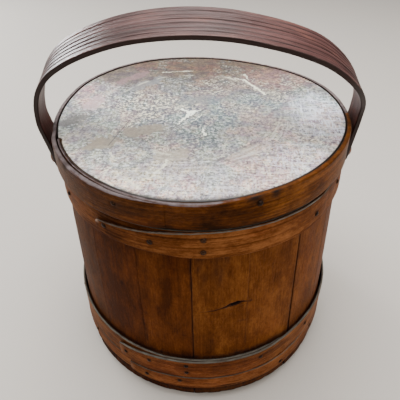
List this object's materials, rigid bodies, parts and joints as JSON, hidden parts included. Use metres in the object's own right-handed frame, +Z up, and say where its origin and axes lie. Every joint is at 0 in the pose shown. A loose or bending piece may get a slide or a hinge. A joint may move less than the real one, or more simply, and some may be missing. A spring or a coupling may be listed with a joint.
{
  "type": "lidded firkin bucket",
  "caption": "Tapered stave-built wooden bucket with a flat banded lid that lifts off, three lapped wooden hoops and a swinging bentwood handle on two pegs.",
  "frame": {"origin": "centre of the ring of stave ends that the bucket stands on, on the floor", "axes": "+Z is up along the bucket's axis, -Y is the front seen in the picture, +X is towards the right peg"},
  "size_m": [0.356, 0.3496, 0.417],
  "materials": {
    "stave_wood": "varnished softwood staves, orange-brown, upright grain, darker in the joints",
    "hoop_wood": "varnished bent hoop wood, grain along the hoop, greyed and worn upper edge",
    "bottom_wood": "bare aged softwood",
    "lid_paint": "worn and mottled old paint on a board, grey, pink and cream, scratched",
    "lid_band_wood": "dark varnished bent wood, upper edge worn grey",
    "handle_wood": "dark red-brown bent wood, fine grooves along it, glossy from handling",
    "peg_wood": "turned wooden peg, dark varnish",
    "tack_iron": "small blackened iron tacks"
  },
  "bodies": {
    "bucket": {"stave_01": "stave_wood", "stave_02": "stave_wood", "stave_03": "stave_wood", "stave_04": "stave_wood", "stave_05": "stave_wood", "stave_06": "stave_wood", "stave_07": "stave_wood", "stave_08": "stave_wood", "stave_09": "stave_wood", "stave_10": "stave_wood", "stave_11": "stave_wood", "stave_12": "stave_wood", "stave_13": "stave_wood", "stave_14": "stave_wood", "stave_15": "stave_wood", "stave_16": "stave_wood", "stave_17": "stave_wood", "stave_18": "stave_wood", "bottom_board": "bottom_wood", "top_hoop": "hoop_wood", "lower_hoop": "hoop_wood", "foot_hoop": "hoop_wood", "top_hoop_tacks": "tack_iron", "lower_hoop_tacks": "tack_iron", "foot_hoop_tacks": "tack_iron", "right_peg": "peg_wood", "left_peg": "peg_wood"},
    "lid": {"lid_board": "lid_paint", "lid_band": "lid_band_wood", "lid_band_tacks": "tack_iron"},
    "bail": {"handle": "handle_wood"}
  },
  "joints": [
    {"name": "lid_lift", "type": "slide", "parent": "bucket", "child": "lid", "axis": [0, 0, 1], "range_m": [0, 0.016]},
    {"name": "handle_swing", "type": "hinge", "parent": "bucket", "child": "bail", "pos_m": [0, -0.005, 0.254], "axis": [1, 0, 0], "range_deg": [-55, 33]}
  ]
}
